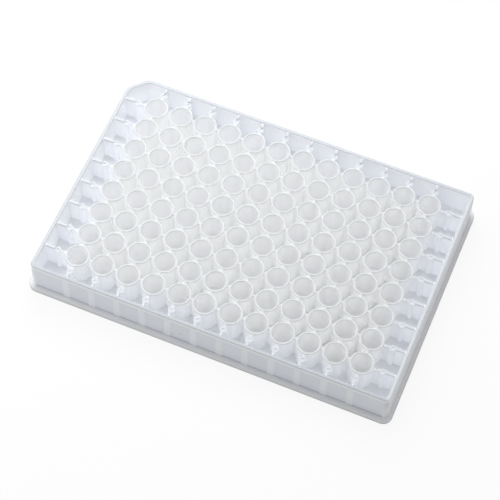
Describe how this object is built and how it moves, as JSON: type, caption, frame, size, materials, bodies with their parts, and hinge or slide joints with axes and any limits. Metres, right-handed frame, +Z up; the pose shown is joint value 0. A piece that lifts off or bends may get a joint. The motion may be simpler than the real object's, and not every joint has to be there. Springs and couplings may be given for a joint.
{
  "type": "well plate",
  "caption": "Rectangular microplate with a grid of round-bottomed wells in a framed, flanged tray, one corner cut off.",
  "frame": {"origin": "middle of the underside, on the surface the plate stands on", "axes": "+X along the rows of twelve wells, +Y along the columns of eight wells towards row A, +Z up out of the wells; the cut corner is at -X, +Y"},
  "size_m": [0.1278, 0.0854, 0.0142],
  "materials": {
    "natural_plastic": "satin"
  },
  "bodies": {
    "root": {"well_plate": "natural_plastic"}
  },
  "joints": []
}
